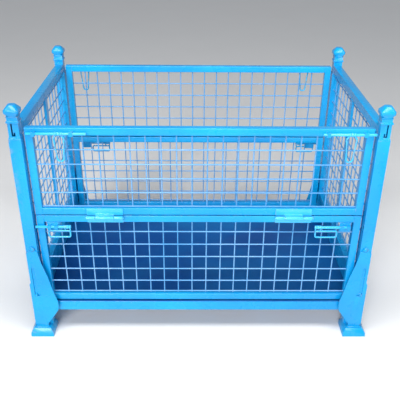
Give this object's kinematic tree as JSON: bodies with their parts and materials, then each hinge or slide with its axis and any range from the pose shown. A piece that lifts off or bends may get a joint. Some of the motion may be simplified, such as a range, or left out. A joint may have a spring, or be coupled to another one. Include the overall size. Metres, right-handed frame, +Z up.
{
  "type": "wire mesh container",
  "caption": "Collapsible steel stacking cage with mesh sides, half-drop gates on both long sides, slide bolts, sheet deck and flared stacking feet.",
  "frame": {"origin": "centre of the footprint, on the floor plane under the feet", "axes": "+X to the right along the length, -Y out of the front gates, +Z up"},
  "size_m": [1.244, 0.824, 0.88],
  "materials": {
    "blue_paint": "gloss, with worn highlights",
    "wire_paint": "gloss",
    "deck_paint": "satin, scuffed"
  },
  "bodies": {
    "base": {"deck": "deck_paint", "base_rail_front": "blue_paint", "base_rail_back": "blue_paint", "base_rail_left": "blue_paint", "base_rail_right": "blue_paint", "cross_members": "blue_paint", "leg_front_left": "blue_paint", "leg_front_right": "blue_paint", "leg_back_left": "blue_paint", "leg_back_right": "blue_paint", "foot_front_left": "blue_paint", "foot_front_right": "blue_paint", "foot_back_left": "blue_paint", "foot_back_right": "blue_paint"},
    "side_frame_left": {"post_front_left": "blue_paint", "post_back_left": "blue_paint", "cap_front_left": "blue_paint", "cap_back_left": "blue_paint", "side_rails_left": "blue_paint", "side_mesh_left": "wire_paint"},
    "side_frame_right": {"post_front_right": "blue_paint", "post_back_right": "blue_paint", "cap_front_right": "blue_paint", "cap_back_right": "blue_paint", "side_rails_right": "blue_paint", "side_mesh_right": "wire_paint"},
    "lower_gate_front": {"lower_gate_frame_front": "blue_paint", "lower_gate_mesh_front": "wire_paint", "lower_hinge_leaves_front": "blue_paint", "bolt_plates_front": "blue_paint"},
    "upper_gate_front": {"upper_gate_frame_front": "blue_paint", "upper_gate_mesh_front": "wire_paint", "upper_hinge_leaves_front": "blue_paint", "bolt_guides_front": "blue_paint"},
    "lower_gate_back": {"lower_gate_frame_back": "blue_paint", "lower_gate_mesh_back": "wire_paint", "lower_hinge_leaves_back": "blue_paint", "bolt_plates_back": "blue_paint"},
    "upper_gate_back": {"upper_gate_frame_back": "blue_paint", "upper_gate_mesh_back": "wire_paint", "upper_hinge_leaves_back": "blue_paint", "bolt_guides_back": "blue_paint"},
    "upper_bolt_front_left": {"upper_bolt_front_left": "blue_paint"},
    "upper_handle_front_left": {"upper_handle_front_left": "blue_paint"},
    "lower_bolt_front_left": {"lower_bolt_front_left": "blue_paint"},
    "lower_handle_front_left": {"lower_handle_front_left": "blue_paint"},
    "upper_bolt_front_right": {"upper_bolt_front_right": "blue_paint"},
    "upper_handle_front_right": {"upper_handle_front_right": "blue_paint"},
    "lower_bolt_front_right": {"lower_bolt_front_right": "blue_paint"},
    "lower_handle_front_right": {"lower_handle_front_right": "blue_paint"},
    "upper_bolt_back_left": {"upper_bolt_back_left": "blue_paint"},
    "upper_handle_back_left": {"upper_handle_back_left": "blue_paint"},
    "lower_bolt_back_left": {"lower_bolt_back_left": "blue_paint"},
    "lower_handle_back_left": {"lower_handle_back_left": "blue_paint"},
    "upper_bolt_back_right": {"upper_bolt_back_right": "blue_paint"},
    "upper_handle_back_right": {"upper_handle_back_right": "blue_paint"},
    "lower_bolt_back_right": {"lower_bolt_back_right": "blue_paint"},
    "lower_handle_back_right": {"lower_handle_back_right": "blue_paint"}
  },
  "joints": [
    {"name": "side_lift_left", "type": "slide", "parent": "base", "child": "side_frame_left", "axis": [0, 0, 1], "range_m": [0, 0.11]},
    {"name": "side_lift_right", "type": "slide", "parent": "base", "child": "side_frame_right", "axis": [0, 0, 1], "range_m": [0, 0.11]},
    {"name": "lower_gate_fold_front", "type": "hinge", "parent": "base", "child": "lower_gate_front", "pos_m": [0, -0.355, 0.1555], "axis": [-1, 0, 0], "range_deg": [0, 90]},
    {"name": "upper_gate_drop_front", "type": "hinge", "parent": "lower_gate_front", "child": "upper_gate_front", "pos_m": [0, -0.391, 0.4935], "axis": [1, 0, 0], "range_deg": [0, 180]},
    {"name": "lower_gate_fold_back", "type": "hinge", "parent": "base", "child": "lower_gate_back", "pos_m": [0, 0.355, 0.1555], "axis": [1, 0, 0], "range_deg": [0, 90]},
    {"name": "upper_gate_drop_back", "type": "hinge", "parent": "lower_gate_back", "child": "upper_gate_back", "pos_m": [0, 0.391, 0.4935], "axis": [-1, 0, 0], "range_deg": [0, 180]},
    {"name": "upper_bolt_front_left_slide", "type": "slide", "parent": "upper_gate_front", "child": "upper_bolt_front_left", "axis": [1, 0, 0], "range_m": [-0.028, 0]},
    {"name": "upper_handle_front_left_swing", "type": "hinge", "parent": "upper_bolt_front_left", "child": "upper_handle_front_left", "pos_m": [-0.445, -0.379, 0.7875], "axis": [1, 0, 0], "range_deg": [-100, 0]},
    {"name": "lower_bolt_front_left_slide", "type": "slide", "parent": "lower_gate_front", "child": "lower_bolt_front_left", "axis": [1, 0, 0], "range_m": [-0.017, 0.043]},
    {"name": "lower_handle_front_left_swing", "type": "hinge", "parent": "lower_bolt_front_left", "child": "lower_handle_front_left", "pos_m": [-0.449, -0.379, 0.452], "axis": [1, 0, 0], "range_deg": [-100, 0]},
    {"name": "upper_bolt_front_right_slide", "type": "slide", "parent": "upper_gate_front", "child": "upper_bolt_front_right", "axis": [-1, 0, 0], "range_m": [-0.018, 0.03]},
    {"name": "upper_handle_front_right_swing", "type": "hinge", "parent": "upper_bolt_front_right", "child": "upper_handle_front_right", "pos_m": [0.48, -0.379, 0.7875], "axis": [1, 0, 0], "range_deg": [-100, 0]},
    {"name": "lower_bolt_front_right_slide", "type": "slide", "parent": "lower_gate_front", "child": "lower_bolt_front_right", "axis": [-1, 0, 0], "range_m": [-0.06, 0]},
    {"name": "lower_handle_front_right_swing", "type": "hinge", "parent": "lower_bolt_front_right", "child": "lower_handle_front_right", "pos_m": [0.406, -0.379, 0.452], "axis": [1, 0, 0], "range_deg": [-100, 0]},
    {"name": "upper_bolt_back_left_slide", "type": "slide", "parent": "upper_gate_back", "child": "upper_bolt_back_left", "axis": [1, 0, 0], "range_m": [-0.018, 0.03]},
    {"name": "upper_handle_back_left_swing", "type": "hinge", "parent": "upper_bolt_back_left", "child": "upper_handle_back_left", "pos_m": [-0.48, 0.379, 0.7875], "axis": [-1, 0, 0], "range_deg": [-100, 0]},
    {"name": "lower_bolt_back_left_slide", "type": "slide", "parent": "lower_gate_back", "child": "lower_bolt_back_left", "axis": [1, 0, 0], "range_m": [-0.06, 0]},
    {"name": "lower_handle_back_left_swing", "type": "hinge", "parent": "lower_bolt_back_left", "child": "lower_handle_back_left", "pos_m": [-0.406, 0.379, 0.452], "axis": [-1, 0, 0], "range_deg": [-100, 0]},
    {"name": "upper_bolt_back_right_slide", "type": "slide", "parent": "upper_gate_back", "child": "upper_bolt_back_right", "axis": [-1, 0, 0], "range_m": [-0.028, 0]},
    {"name": "upper_handle_back_right_swing", "type": "hinge", "parent": "upper_bolt_back_right", "child": "upper_handle_back_right", "pos_m": [0.445, 0.379, 0.7875], "axis": [-1, 0, 0], "range_deg": [-100, 0]},
    {"name": "lower_bolt_back_right_slide", "type": "slide", "parent": "lower_gate_back", "child": "lower_bolt_back_right", "axis": [-1, 0, 0], "range_m": [-0.017, 0.043]},
    {"name": "lower_handle_back_right_swing", "type": "hinge", "parent": "lower_bolt_back_right", "child": "lower_handle_back_right", "pos_m": [0.449, 0.379, 0.452], "axis": [-1, 0, 0], "range_deg": [-100, 0]}
  ]
}
